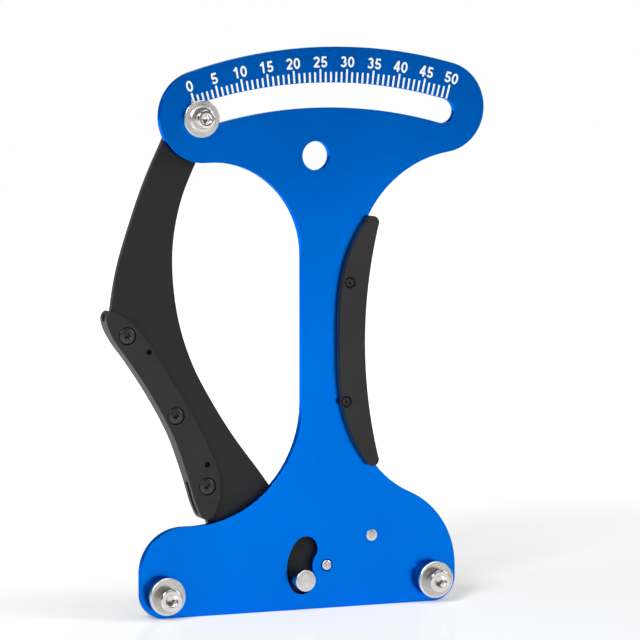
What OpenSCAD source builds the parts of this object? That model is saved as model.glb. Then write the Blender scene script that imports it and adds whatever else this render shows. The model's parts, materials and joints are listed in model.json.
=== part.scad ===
// Spoke tension meter: a flat body plate with two fixed posts, and a sprung lever behind it that carries the
// moving post at one end and the pointer at the other.
// Frame: +Z up, the plate's front faces -Y, and the origin is on the bottom edge at mid thickness, straight
// below the lever pivot. Outlines are drawn in X and Z with the lever pivot at [0, 0]. A bearing is measured
// at the pivot, clockwise from straight up as seen from the front.

/* [Body plate] */
// Thickness of the body plate
plate_t = 3; // [2.5:0.1:4]
// Height of the lever pivot above the bottom edge
pivot_height = 16.5; // [15:0.1:20]
// Distance from the left post to the left end of the base
left_post_edge = 9; // [8:0.1:12]
// Distance from the right post to the right end of the base
right_post_edge = 10; // [8:0.1:12]
// Radius of the two bottom corners
base_corner_r = 9.3; // [6:0.1:10]
// Radius of the left shoulder of the base
left_shoulder_r = 17; // [14:0.5:19]
// Height of the left shoulder above the pivot
left_shoulder_top = 17.6; // [15:0.1:20]
// Radius of the right shoulder of the base
right_shoulder_r = 32.4; // [28:0.2:36]
// Height of the right shoulder's circle above the pivot
right_shoulder_top = 29.4; // [26:0.2:32]
// Left edge of the waist, left of the pivot
waist_left = 10.2; // [8:0.1:12]
// Right edge of the waist, right of the pivot
waist_right = 11.8; // [11:0.1:12.6]
// Radius of the flare from the waist to the left shoulder
left_base_flare_r = 45; // [40:0.5:46]
// Radius of the flare from the waist to the right shoulder
right_base_flare_r = 38; // [34:0.5:42]
// Radius of the flare from the waist to the left end of the head
left_head_flare_r = 35.5; // [33:0.5:38]
// Radius of the flare from the waist to the right end of the head
right_head_flare_r = 45; // [42:0.5:48]
// Radius of the round ends of the head
head_lobe_r = 17.3; // [15:0.1:19]
// Bearing of the head's left end
head_left_bearing = -16.1; // [-17:0.1:-15.5]
// Bearing of the head's right end
head_right_bearing = 15.3; // [15:0.1:17]
// Distance of the head's left end inside the slot's circle
head_left_drop = 0.6; // [0:0.1:1.5]
// Distance of the head's right end outside the slot's circle
head_right_rise = 1.4; // [0:0.1:2.5]
// Radius of the head's top edge
head_top_r = 187; // [170:1:200]

/* [Scale] */
// Radius of the middle of the arc slot, from the pivot
scale_r = 178.6; // [170:0.2:186]
// Distance of the pointer's screw inside the middle of the slot
pointer_drop = 1; // [0:0.1:1.1]
// Width of the arc slot
slot_w = 9.4; // [8.6:0.1:10.5]
// Bearing of the pointer when the lever rests at zero
rest_bearing = -16.6; // [-17:0.1:-16.2]
// Turn of the lever from the first to the last mark of the scale
scale_swing = 32; // [30:0.1:33]
// Turn of the lever past the last mark before it stops
over_travel = 0.5; // [0.2:0.1:0.8]
// Gap left between the pointer's sleeve and the slot's end at each stop
stop_gap = 0.15; // [0.1:0.05:0.3]
// Radius of the hanging hole
hanging_hole_r = 5.5; // [4:0.1:6]
// Distance of the hanging hole below the slot's circle
hanging_hole_drop = 22.8; // [18:0.2:26]
// Distance of the hanging hole to the left of the pivot
hanging_hole_x = 4.4; // [0:0.1:8]

/* [Lever] */
// Thickness of the lever plate
lever_t = 3; // [2.5:0.1:4]
// Gap between the body plate and the lever, held by a washer
lever_gap = 0.5; // [0.4:0.1:1]
// Distance from the pivot to the moving post
crank_r = 11.8; // [11.4:0.1:12]
// Bearing of the moving post at rest
crank_bearing = -113; // [-116:0.5:-111]
// Radius of the lever round its pivot
lever_hub_r = 9; // [8:0.1:9.2]
// Radius of the lever round the pointer's screw
lever_tip_r = 8; // [6.5:0.1:8.5]
// Distance from the pivot to the spring pin
tail_r = 13; // [12.5:0.1:13.5]
// Bearing of the spring pin at rest
tail_bearing = 115; // [112:1:118]
// Radius of the lever round the spring pin
tail_boss_r = 4.2; // [3.5:0.1:4.4]
// Radius of the lever round the moving post
lever_crank_r = 7.1; // [6.6:0.1:7.4]

/* [Posts] */
// Distance between the two fixed posts
post_span = 109.2; // [100:0.2:112]
// Distance of the middle of the fixed posts to the left of the pivot
post_mid = 11.3; // [10.8:0.1:12]
// Depth of the fixed posts below the pivot
post_drop = 7.5; // [6.5:0.1:8.5]
// Height of the left post's middle above its screw; turning the post on the screw sets the zero
post_throw = 0.8; // [0:0.1:1]
// Radius of the groove where the spoke lies
post_groove_r = 4.1; // [4:0.1:4.6]
// Width of the groove
post_groove_w = 2.4; // [2:0.1:3.4]
// Radius of the outer flange
post_flange_r = 7.1; // [6:0.1:8]
// Thickness of the outer flange
post_flange_t = 2.2; // [1.5:0.1:3]
// Radius of the collar at the plate
post_collar_r = 5.2; // [4.8:0.1:6]
// Thickness of the collar at the plate
post_collar_t = 0.6; // [0.4:0.1:1]
// Radius of the moving post
moving_post_r = 4.1; // [3.4:0.1:4.2]
// Reach of the moving post in front of the body plate
moving_post_reach = 6; // [5:0.1:8]
// Radius of the moving post's stem, pressed into the lever
moving_post_stem_r = 2.5; // [2:0.1:3]
// Half width of the moving post's slot at its lower end
kidney_low_r = 5.4; // [5.3:0.05:5.6]
// Half width of the moving post's slot at its upper end
kidney_high_r = 4.9; // [4.8:0.05:5.1]
// Shift of the slot's lower end towards the pivot
kidney_low_shift = 0.4; // [0.3:0.1:0.5]
// Shift of the slot's upper end towards the pivot
kidney_high_shift = 0.9; // [0.7:0.1:1]
// Bearing of the slot's upper end
kidney_high_bearing = -53; // [-56:0.5:-50]

/* [Pivot] */
// Radius of the pivot pin where the lever turns
pivot_r = 2.5; // [2:0.1:2.8]
// Radius of the pivot pin's nose, pressed into the body plate
pivot_nose_r = 1.9; // [1.6:0.05:2]
// Reach of the pivot pin's nose in front of the plate
pivot_nose_reach = 0.3; // [0.1:0.1:0.6]
// Radius of the countersink round the nose
pivot_sink_r = 2.45; // [2.3:0.05:2.8]
// Radial clearance of the lever on its pivot pin
pivot_clearance = 0.05; // [0.02:0.01:0.1]
// Outer radius of the pivot washers
pivot_washer_r = 5.6; // [4.5:0.1:6]
// Thickness of the washer behind the lever
rear_washer_t = 0.4; // [0.3:0.1:0.8]
// Thickness of the retaining clip
clip_t = 0.6; // [0.4:0.1:0.8]
// Outer radius of the retaining clip
clip_r = 4.3; // [3.8:0.1:5]

/* [Spring] */
// Wire diameter of the return spring
wire_d = 0.9; // [0.7:0.05:1]
// Mean radius of the spring's coils
coil_r = 2.4; // [2:0.05:2.5]
// Number of coils
coils = 7; // [4:1:7]
// Step from coil to coil
coil_pitch = 1.45; // [1.42:0.01:1.5]
// Gap between the spring and the lever's rear face
spring_gap_behind = 0.35; // [0.3:0.05:1]
// Reach of the spring pins behind the spring
pin_reach = 0.15; // [0.1:0.05:0.5]
// Radius of the anchor pin, pressed into the body plate
anchor_r = 2.2; // [1.9:0.05:2.4]
// Distance of the anchor pin to the right of the pivot
anchor_x = 18.5; // [17.5:0.1:20]
// Height of the anchor pin above the pivot
anchor_z = 10.5; // [10:0.1:12]
// Radius of the spring pin on the lever
spring_pin_r = 2; // [1.9:0.05:2.3]
// Radius of the hook grooves in both pins
hook_groove_r = 1.4; // [1.2:0.05:1.6]
// Clearance between a hook and the groove it sits in
hook_clearance = 0.15; // [0.1:0.05:0.3]

/* [Pointer] */
// Radius of the pointer disc
disc_r = 7; // [6:0.1:8]
// Thickness of the pointer disc's rim
disc_t = 1.6; // [1.2:0.1:2.4]
// Radius of the pointer disc's raised middle
disc_step_r = 4.6; // [4:0.1:5.5]
// Height of the raised middle
disc_step_t = 1; // [0.3:0.1:1.4]
// Reach of the index tip past the disc
index_reach = 1.1; // [0.5:0.1:1.5]
// Bearing of the index tip, seen from the disc's middle
index_bearing = -29; // [-32:1:-16]
// Half width of the index tip where it leaves the disc
index_half_w = 1.3; // [0.8:0.1:2]
// Gap between the pointer disc and the body plate
disc_gap = 0.3; // [0.2:0.05:0.6]
// Outer radius of the pointer's sleeve
sleeve_r = 3; // [2.7:0.1:3.2]

/* [Lever grip] */
// Thickness of each half of the grip over the lever plate
lever_grip_t = 2.2; // [1.6:0.1:3]
// Width of the grip's rim outside the edge of the lever
lever_grip_rim = 2; // [1.6:0.1:2.6]
// Clearance round the lever's edge in the grip
lever_grip_clearance = 0.1; // [0.05:0.05:0.2]
// Radius of the wells for the grip's screws
well_r = 3.4; // [3.35:0.05:3.5]
// Depth of the wells
well_depth = 1.1; // [0.8:0.1:1.4]
// Radius of the locating holes
locating_hole_r = 1.1; // [0.8:0.1:1.4]

/* [Body grip] */
// Thickness of each half of the grip over the body plate
body_grip_t = 3; // [2:0.1:4]
// Half of the grip's height
body_grip_half = 47.7; // [44:0.1:50]
// Height of the grip's middle above the pivot
body_grip_mid = 85.1; // [83:0.1:88]
// Inner edge of the grip at its middle, right of the pivot
body_grip_inner = 4; // [3:0.1:5]
// Outer edge of the grip at its middle, right of the pivot
body_grip_outer = 14.4; // [13.8:0.1:16]
// Radius of the grip's tips
body_grip_tip_r = 2.5; // [2:0.1:3]
// Height of the grip's screws above and below its middle
body_grip_screw_rise = 22.6; // [20:0.2:26]
// Distance of the upper screw to the right of the pivot
body_grip_screw_high_x = 8.3; // [7.5:0.1:9]
// Distance of the lower screw to the right of the pivot
body_grip_screw_low_x = 6.8; // [6.4:0.1:9]
// Clearance between the grip and the edge of the body plate
body_grip_clearance = 0.1; // [0.05:0.05:0.2]

/* [Fasteners] */
// Radius of the M5 screws in the posts
m5_r = 2.5; // [2.3:0.05:2.5]
// Radius of the M5 screws' heads
m5_head_r = 4.25; // [3.8:0.05:4.4]
// Height of the M5 screws' heads
m5_head_h = 4.1; // [3:0.1:5]
// Width of the hexagon socket in the M5 screws
m5_key = 4; // [3.4:0.1:4.2]
// Width across the flats of the M5 nuts
m5_nut_w = 8; // [7.5:0.1:9]
// Height of the hexagon of the M5 nuts
m5_nut_h = 3.6; // [3:0.1:4.5]
// Height of the locking collar on the M5 nuts
lock_collar_h = 1.4; // [1:0.1:2.4]
// Outer radius of the M5 washers
m5_washer_r = 5; // [4.8:0.1:5.6]
// Thickness of the M5 washers
m5_washer_t = 1; // [0.8:0.1:1.4]
// Radius of the M4 screw in the pointer
m4_r = 2; // [1.8:0.05:2.1]
// Radius of the M4 screw's head
m4_head_r = 3.5; // [3.2:0.05:3.8]
// Height of the M4 screw's head
m4_head_h = 4; // [3:0.1:5]
// Width of the hexagon socket in the M4 screw
m4_key = 3; // [2.5:0.1:3.2]
// Width across the flats of the M4 nut
m4_nut_w = 7; // [6.5:0.1:8]
// Height of the M4 nut
m4_nut_h = 3.2; // [2.6:0.1:4]
// Outer radius of the M4 washer
m4_washer_r = 4.5; // [4.2:0.1:5]
// Thickness of the M4 washer
m4_washer_t = 0.8; // [0.5:0.1:1.2]
// Radius of the M3 screws in the lever grip
m3_r = 1.5; // [1.4:0.05:1.6]
// Radius of the M3 screws' heads
m3_head_r = 3.2; // [2.8:0.05:3.25]
// Width of the hexagon socket in the M3 screws
m3_key = 2; // [1.8:0.1:2.2]
// Width across the flats of the M3 nuts
m3_nut_w = 5.5; // [5:0.1:6]
// Height of the M3 nuts
m3_nut_h = 1.4; // [1:0.1:1.5]
// Radius of the small screws in the body grip
m25_r = 1.25; // [1.15:0.05:1.35]
// Radius of the small screws' countersunk heads
m25_head_r = 2.3; // [2:0.05:2.5]
// Width across the flats of the small screws' nuts
m25_nut_w = 5; // [4.4:0.1:5.4]
// Height of the small screws' nuts
m25_nut_h = 1.6; // [1:0.1:1.9]
// Radial clearance of screws in the holes they pass through
screw_clearance = 0.1; // [0.05:0.05:0.25]
// Radial play of nuts on their screws
thread_play = 0.03; // [0.02:0.01:0.05]

/* [Hidden] */
$fn = 64;
eps = 0.01;

// Planes along Y
plate_front = -plate_t / 2;
plate_rear = plate_t / 2;
lever_front = plate_rear + lever_gap;
lever_rear = lever_front + lever_t;
lever_mid = lever_front + lever_t / 2;
post_face = plate_front - post_collar_t - post_groove_w - post_flange_t;
disc_rear = plate_front - disc_gap;
disc_front = disc_rear - disc_t;
disc_face = disc_front - disc_step_t;
clip_front = lever_rear + rear_washer_t + 0.05;
spring_y = lever_rear + spring_gap_behind + coil_r + wire_d / 2;
pin_end = spring_y + coil_r + wire_d / 2 + pin_reach;

// Places in the outline plane, from the pivot
function polar(r, bearing) = [r * sin(bearing), r * cos(bearing)];
pointer_r = scale_r - pointer_drop;
stop_shift = sqrt(pow(slot_w / 2 - sleeve_r - stop_gap, 2) - pow(pointer_drop, 2));
stop_turn = stop_shift / scale_r * 180 / PI;
slot_left_bearing = rest_bearing + stop_turn;
slot_right_bearing = rest_bearing + scale_swing + over_travel - stop_turn;
pointer_at = polar(pointer_r, rest_bearing);
moving_post_at = polar(crank_r, crank_bearing);
tail_at = polar(tail_r, tail_bearing);
anchor_at = [anchor_x, anchor_z];
post_left_at = [-post_mid - post_span / 2, -post_drop];
post_right_at = [-post_mid + post_span / 2, -post_drop];
post_screws_at = [post_left_at - [0, post_throw], post_right_at];
base_left = -post_left_at.x + left_post_edge;
base_right = post_right_at.x + right_post_edge;
body_grip_screws_at = [[body_grip_screw_high_x, body_grip_mid + body_grip_screw_rise],
    [body_grip_screw_low_x, body_grip_mid - body_grip_screw_rise]];

// The lever's edge was drawn at this distance of the pointer, and grows with it
drawn_scale_r = 178.6;
function drawn(places) = [for (at = places) at * scale_r / drawn_scale_r];
lever_grip_screws_at = drawn([[-79.2, 90], [-60.2, 59.4], [-47.8, 32.3]]);
locating_holes_at = drawn([[-70.8, 83.8], [-47.8, 40.6]]);

// Colours
anodised_blue = [0.02, 0.40, 0.83];
steel = [0.76, 0.75, 0.73];
dark_steel = [0.35, 0.35, 0.36];
lever_black = [0.13, 0.13, 0.13];
grip_black = [0.22, 0.22, 0.22];
nylon = [0.85, 0.85, 0.80];

// Outlines and turned pieces

// An outline in X and Z, made solid from y0 back to y0 + t
module slab(y0, t) {
    translate([0, y0 + t, pivot_height])
        rotate([90, 0, 0])
            linear_extrude(t)
                children();
}

// A round bar or hole along Y, at a place in the outline plane
module rod(at, y0, y1, r, sides = 0) {
    translate([at.x, y1, at.y + pivot_height])
        rotate([90, 0, 0])
            cylinder(h = y1 - y0, r = r, $fn = sides > 0 ? sides : $fn);
}

// A turned piece about an axis along Y; its profile is a list of [radius, y]
module turned(at, profile) {
    translate([at.x, 0, at.y + pivot_height])
        rotate([-90, 0, 0])
            rotate_extrude()
                polygon(profile);
}

function unit(v) = v / norm(v);

// A smooth closed curve through a list of places, with n steps from each to the next
function mix(a, b, ta, tb, t) = (a * (tb - t) + b * (t - ta)) / (tb - ta);
function blend(a, b, c, d, u) =
    let (
        tb = sqrt(norm(b - a)),
        tc = tb + sqrt(norm(c - b)),
        td = tc + sqrt(norm(d - c)),
        t = tb + (tc - tb) * u,
        ab = mix(a, b, 0, tb, t),
        bc = mix(b, c, tb, tc, t),
        cd = mix(c, d, tc, td, t)
    )
    mix(mix(ab, bc, 0, tc, t), mix(bc, cd, tb, td, t), tb, tc, t);
function smooth(places, n) =
    let (count = len(places))
    [for (i = [0 : count - 1], k = [0 : n - 1])
        blend(places[(i + count - 1) % count], places[i], places[(i + 1) % count], places[(i + 2) % count],
            k / n)];

// A smooth closed outline, moved outwards by g; it runs clockwise
function outset(points, g) =
    [for (i = [0 : len(points) - 1])
        let (
            along = unit(points[(i + 1) % len(points)] - points[(i + len(points) - 1) % len(points)])
        )
        points[i] + g * [-along.y, along.x]];

// Body plate

base_z = -pivot_height;
left_shoulder = [-base_left + left_shoulder_r, left_shoulder_top - left_shoulder_r];
right_shoulder = [base_right - right_shoulder_r, right_shoulder_top - right_shoulder_r];
head_left = polar(scale_r - head_left_drop, head_left_bearing);
head_right = polar(scale_r + head_right_rise, head_right_bearing);

// Centre of an arc of radius r that caps two round lobes of radius lobe_r, from a on the left to b
function cap_centre(a, b, lobe_r, r) =
    let (along = unit(b - a))
    (a + b) / 2 + sqrt(pow(r - lobe_r, 2) - pow(norm(b - a) / 2, 2)) * [along.y, -along.x];
head_top = cap_centre(head_left, head_right, head_lobe_r, head_top_r);

// Centre of the concave flare that touches the waist's edge and a round lobe; side is -1 on the left, and
// up is 1 where the lobe is above the flare
function flare_centre(lobe, lobe_r, edge, r, side, up) =
    let (x = edge + side * r)
    [x, lobe.y - up * sqrt(pow(lobe_r + r, 2) - pow(x - lobe.x, 2))];
base_left_flare = flare_centre(left_shoulder, left_shoulder_r, -waist_left, left_base_flare_r, -1, -1);
base_right_flare = flare_centre(right_shoulder, right_shoulder_r, waist_right, right_base_flare_r, 1, -1);
head_left_flare = flare_centre(head_left, head_lobe_r, -waist_left, left_head_flare_r, -1, 1);
head_right_flare = flare_centre(head_right, head_lobe_r, waist_right, right_head_flare_r, 1, 1);

// Places along an arc, and the angle from one place to another
function arc(centre, r, from, to, step = 5) =
    let (n = ceil(abs(to - from) / step))
    [for (i = [0 : n]) centre + r * [cos(from + (to - from) * i / n), sin(from + (to - from) * i / n)]];
function angle_to(a, b) = atan2(b.y - a.y, b.x - a.x);

// An outline without the places where one arc ends and the next begins written twice
function distinct(points) =
    let (count = len(points))
    [for (i = [0 : count - 1]) if (norm(points[i] - points[(i + count - 1) % count]) > eps) points[i]];

// The plate's outline, moved outwards by g, from the bottom right corner round by way of the head
function plate_path(g = 0) =
    let (corner_z = base_z + base_corner_r)
    distinct(concat(
        arc([base_right - base_corner_r, corner_z], base_corner_r + g, -90, 0),
        arc(right_shoulder, right_shoulder_r + g, 0, angle_to(right_shoulder, base_right_flare)),
        arc(base_right_flare, right_base_flare_r - g, angle_to(base_right_flare, right_shoulder) + 360, 180),
        arc(head_right_flare, right_head_flare_r - g, 180, angle_to(head_right_flare, head_right)),
        arc(head_right, head_lobe_r + g, angle_to(head_right, head_right_flare), angle_to(head_top, head_right)),
        arc(head_top, head_top_r + g, angle_to(head_top, head_right), angle_to(head_top, head_left), 1.2),
        arc(head_left, head_lobe_r + g, angle_to(head_top, head_left), angle_to(head_left, head_left_flare) + 360),
        arc(head_left_flare, left_head_flare_r - g, angle_to(head_left_flare, head_left), 0),
        arc(base_left_flare, left_base_flare_r - g, 0, angle_to(base_left_flare, left_shoulder)),
        arc(left_shoulder, left_shoulder_r + g, angle_to(left_shoulder, base_left_flare), 180),
        arc([-base_left + base_corner_r, corner_z], base_corner_r + g, 180, 270)));

module scale_slot() {
    half = slot_w / 2;
    left = 90 - slot_left_bearing;
    right = 90 - slot_right_bearing;
    polygon(distinct(concat(
        arc([0, 0], scale_r + half, left, right, 1.2),
        arc(polar(scale_r, slot_right_bearing), half, right, right - 180, 9),
        arc([0, 0], scale_r - half, right, left, 1.2),
        arc(polar(scale_r, slot_left_bearing), half, left - 180, left - 360, 9))));
}

// The moving post's slot narrows from its lower to its upper end, and its middle drifts towards the pivot
module kidney_slot() {
    steps = 12;
    low = crank_bearing - 4;
    high = kidney_high_bearing;
    function mid_r(i) = crank_r - kidney_low_shift - (kidney_high_shift - kidney_low_shift) * i / steps;
    function half_w(i) = kidney_low_r + (kidney_high_r - kidney_low_r) * i / steps;
    function bearing(i) = low + (high - low) * i / steps;
    polygon(concat(
        [for (i = [1 : steps - 1]) polar(mid_r(i) + half_w(i), bearing(i))],
        arc(polar(mid_r(steps), high), kidney_high_r, 90 - high, -90 - high, 10),
        [for (i = [steps - 1 : -1 : 1]) polar(mid_r(i) - half_w(i), bearing(i))],
        arc(polar(mid_r(0), low), kidney_low_r, -90 - low, -270 - low, 10)));
}

module body_plate() {
    color(anodised_blue)
        difference() {
            slab(plate_front, plate_t)
                difference() {
                    polygon(plate_path());
                    scale_slot();
                    kidney_slot();
                }
            rod([-hanging_hole_x, scale_r - hanging_hole_drop], plate_front - 1, plate_rear + 1, hanging_hole_r);
            for (at = post_screws_at)
                rod(at, plate_front - 1, plate_rear + 1, m5_r + screw_clearance);
            for (at = body_grip_screws_at)
                rod(at, plate_front - 1, plate_rear + 1, m25_r + screw_clearance);
            rod(anchor_at, plate_front - 1, plate_rear + 1, anchor_r);
            rod([0, 0], plate_front - 1, plate_rear + 1, pivot_nose_r);
            turned([0, 0], [
                [0, plate_front - 1],
                [pivot_sink_r, plate_front - 1],
                [pivot_sink_r, plate_front],
                [pivot_nose_r, plate_front + 0.9],
                [0, plate_front + 0.9]]);
        }
}

// Fixed posts

module fixed_post(at, screw_at) {
    groove_rear = plate_front - post_collar_t;
    groove_front = groove_rear - post_groove_w;
    edge = 0.4;
    difference() {
        turned(at, [
            [0, plate_front],
            [post_collar_r, plate_front],
            [post_collar_r, groove_rear],
            [post_groove_r, groove_rear],
            [post_groove_r, groove_front],
            [post_flange_r - edge, groove_front],
            [post_flange_r, groove_front - edge],
            [post_flange_r, post_face + edge],
            [post_flange_r - edge, post_face],
            [0, post_face]]);
        rod(screw_at, post_face - 1, plate_front + 1, m5_r + screw_clearance);
    }
}

module left_post() {
    color(steel)
        fixed_post(post_left_at, post_screws_at[0]);
}

module right_post() {
    color(steel)
        fixed_post(post_right_at, post_screws_at[1]);
}

// Hexagon socket with a small countersink, cut back from a head's face
module socket(at, face, depth, key) {
    lip = 0.3;
    mouth_r = key / sqrt(3) + lip / 2;
    rod(at, face - 1, face + depth, key / sqrt(3), 6);
    turned(at, [[0, face - eps], [mouth_r, face - eps], [mouth_r - lip, face + lip], [0, face + lip]]);
}

// Socket screw: its head stands in front of the seat, and its shank runs back to end
module cap_screw(at, seat, end, r, head_r, head_h, key) {
    edge = 0.35;
    difference() {
        turned(at, [
            [0, seat - head_h],
            [head_r - edge, seat - head_h],
            [head_r, seat - head_h + edge],
            [head_r, seat],
            [r, seat],
            [r, end - edge],
            [r - edge, end],
            [0, end]]);
        socket(at, seat - head_h, head_h * 0.6, key);
    }
}

// Socket screw with a low domed head
module dome_screw(at, seat, end, r, head_r, head_h, key) {
    edge = 0.35;
    flat = 60;
    difference() {
        turned(at, concat(
            [[0, end], [r - edge, end], [r, end - edge], [r, seat], [head_r, seat]],
            [for (a = [0 : 15 : flat])
                [head_r * cos(a), seat - edge - (head_h - edge) * sin(a) / sin(flat)]],
            [[0, seat - head_h]]));
        socket(at, seat - head_h, head_h * 0.75, key);
    }
}

module flat_washer(at, y0, t, bore, r) {
    turned(at, [[bore, y0], [r, y0], [r, y0 + t], [bore, y0 + t]]);
}

module hex_nut(at, y0, h, w, r) {
    difference() {
        rod(at, y0, y0 + h, w / sqrt(3), 6);
        rod(at, y0 - 1, y0 + h + 1, r + thread_play);
    }
}

post_nut_y = plate_rear + m5_washer_t;

module post_screws() {
    color(steel)
        for (at = post_screws_at)
            cap_screw(at, post_face, post_nut_y + m5_nut_h + lock_collar_h + 0.4, m5_r, m5_head_r, m5_head_h,
                m5_key);
}

module post_washers() {
    color(steel)
        for (at = post_screws_at)
            flat_washer(at, plate_rear, m5_washer_t, m5_r + screw_clearance, m5_washer_r);
}

module post_nuts() {
    color(steel)
        for (at = post_screws_at) {
            hex_nut(at, post_nut_y, m5_nut_h, m5_nut_w, m5_r);
            flat_washer(at, post_nut_y + m5_nut_h, lock_collar_h, m5_r + thread_play, m5_nut_w * 0.46);
        }
}

// Body grip: two moulded halves over the waist's right edge

function grip_inner_x(dz) = body_grip_inner + 12.5 * pow(abs(dz) / body_grip_half, 3);
function grip_outer_x(dz) = body_grip_outer + 6.4 * pow(dz / body_grip_half, 2);

module body_grip_outline() {
    steps = 24;
    reach = body_grip_half - body_grip_tip_r;
    tip_x = grip_outer_x(reach) - body_grip_tip_r;
    polygon(concat(
        [for (i = [0 : steps]) let (dz = reach * (2 * i / steps - 1))
            [grip_inner_x(dz), body_grip_mid + dz]],
        [for (i = [steps : -1 : 0]) let (dz = reach * (2 * i / steps - 1))
            [grip_outer_x(dz), body_grip_mid + dz]]));
    for (side = [-1, 1])
        translate([tip_x, body_grip_mid + side * reach])
            circle(body_grip_tip_r);
}

// One half, in front of the plate; its rim closes round the plate's edge at mid thickness
module body_grip_half_shell() {
    slab(plate_front - body_grip_t, body_grip_t)
        body_grip_outline();
    slab(plate_front - eps, plate_t / 2 + eps)
        difference() {
            body_grip_outline();
            polygon(plate_path(body_grip_clearance));
        }
}

module body_grip_front() {
    front = plate_front - body_grip_t;
    color(grip_black)
        difference() {
            body_grip_half_shell();
            for (at = body_grip_screws_at) {
                rod(at, front - 1, 1, m25_r + screw_clearance);
                turned(at, [
                    [0, front - 1],
                    [m25_head_r + screw_clearance, front - 1],
                    [m25_head_r + screw_clearance, front + 0.3],
                    [m25_r + screw_clearance, front + 0.3 + m25_head_r - m25_r],
                    [0, front + 0.3 + m25_head_r - m25_r]]);
            }
        }
}

module body_grip_rear() {
    color(grip_black)
        difference() {
            mirror([0, 1, 0])
                body_grip_half_shell();
            for (at = body_grip_screws_at) {
                rod(at, -1, plate_rear + body_grip_t + 1, m25_r + screw_clearance);
                rod(at, plate_rear + body_grip_t - m25_nut_h, plate_rear + body_grip_t + 1,
                    m25_nut_w / sqrt(3) + screw_clearance, 6);
            }
        }
}

module body_grip_screws() {
    front = plate_front - body_grip_t;
    end = plate_rear + body_grip_t - 0.1;
    color(dark_steel)
        for (at = body_grip_screws_at)
            difference() {
                turned(at, [
                    [0, front + 0.3],
                    [m25_head_r, front + 0.3],
                    [m25_r, front + 0.3 + m25_head_r - m25_r],
                    [m25_r, end],
                    [0, end]]);
                for (turn = [0, 90])
                    translate([at.x, front + 0.5, at.y + pivot_height])
                        rotate([0, turn + 20, 0])
                            cube([2.4, 1, 0.5], center = true);
            }
}

module body_grip_nuts() {
    color(dark_steel)
        for (at = body_grip_screws_at)
            hex_nut(at, plate_rear + body_grip_t - m25_nut_h, m25_nut_h - 0.1, m25_nut_w, m25_r);
}

// Pivot

module pivot_pin() {
    groove_r = pivot_r - 0.5;
    end = clip_front + clip_t + 0.9;
    color(steel)
        turned([0, 0], [
            [0, plate_front - pivot_nose_reach],
            [pivot_nose_r - 0.5, plate_front - pivot_nose_reach],
            [pivot_nose_r, plate_front],
            [pivot_nose_r, plate_rear],
            [pivot_r, plate_rear],
            [pivot_r, clip_front],
            [groove_r, clip_front],
            [groove_r, clip_front + clip_t],
            [pivot_r, clip_front + clip_t],
            [pivot_r, end - 0.3],
            [pivot_r - 0.3, end],
            [0, end]]);
}

module thrust_washer_front() {
    color(nylon)
        flat_washer([0, 0], plate_rear, lever_gap, pivot_r + pivot_clearance, pivot_washer_r);
}

module thrust_washer_rear() {
    color(nylon)
        flat_washer([0, 0], lever_rear, rear_washer_t, pivot_r + pivot_clearance, pivot_washer_r);
}

// The clip grips the pin's groove and is open at one side
module retaining_clip() {
    groove_r = pivot_r - 0.5;
    color(dark_steel)
        slab(clip_front, clip_t)
            difference() {
                circle(clip_r);
                circle(groove_r);
                rotate(-60)
                    translate([0, -groove_r * 0.75])
                        square([clip_r + 1, groove_r * 1.5]);
                for (turn = [75, 165])
                    rotate(turn)
                        translate([clip_r * 0.62, 0])
                            circle(0.45);
            }
}

// Spring pins: a pressed stem and a grooved end that keeps the hook
module hook_pin(at, y0, r) {
    groove = wire_d / 2 + 0.2;
    turned(at, [
        [0, y0],
        [r, y0],
        [r, spring_y - groove],
        [hook_groove_r, spring_y - groove],
        [hook_groove_r, spring_y + groove],
        [r, spring_y + groove],
        [r, pin_end - 0.3],
        [r - 0.3, pin_end],
        [0, pin_end]]);
}

module spring_anchor() {
    color(steel)
        hook_pin(anchor_at, plate_front, anchor_r);
}

module spring_pin() {
    color(steel)
        hook_pin(tail_at, lever_front, spring_pin_r);
}

// Return spring: one wire, wound about the line from the spring pin to the anchor, with a hook at each end.
// Its own axes are u along that line, v across it in the outline plane, and w along Y.
spring_len = norm(anchor_at - tail_at);
spring_u = unit(anchor_at - tail_at);
hook_r = hook_groove_r + hook_clearance + wire_d / 2;
coil_start = (spring_len - coils * coil_pitch) / 2;
ring_steps = 8;
hook_steps = 11;
link_steps = 4;

function cubic(a, b, c, d, t) =
    a * pow(1 - t, 3) + 3 * b * pow(1 - t, 2) * t + 3 * c * (1 - t) * t * t + d * pow(t, 3);
first_hook = [for (i = [0 : hook_steps - 1]) let (a = -40 - 230 * i / hook_steps)
    [hook_r * cos(a), hook_r * sin(a), 0]];
first_link = [for (i = [0 : link_steps - 1])
    cubic([0, hook_r, 0], [coil_start * 0.55, hook_r, 0], [coil_start, coil_r, -coil_r * 0.9],
        [coil_start, coil_r, 0], i / link_steps)];
winding = [for (i = [0 : coils * ring_steps]) let (a = 360 * i / ring_steps)
    [coil_start + coil_pitch * i / ring_steps, coil_r * cos(a), coil_r * sin(a)]];
half_spring = concat(first_hook, first_link);
spring_path = concat(
    half_spring,
    winding,
    [for (i = [len(half_spring) - 1 : -1 : 0])
        [spring_len - half_spring[i].x, half_spring[i].y, -half_spring[i].z]]);
wire_points = [for (p = spring_path)
    [tail_at.x + p.x * spring_u.x - p.y * spring_u.y,
        spring_y + p.z,
        pivot_height + tail_at.y + p.x * spring_u.y + p.y * spring_u.x]];

// Rings square to the wire, each turned as little as can be from the one before
function along(points, i) =
    unit(points[min(i + 1, len(points) - 1)] - points[max(i - 1, 0)]);
function squared(v, t) = unit(v - t * (v * t));
function ring_normals(points) =
    [for (i = 0, n = squared([0, 1, 0.1], along(points, 0));
        i < len(points);
        i = i + 1, n = i < len(points) ? squared(n, along(points, i)) : n) n];

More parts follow.
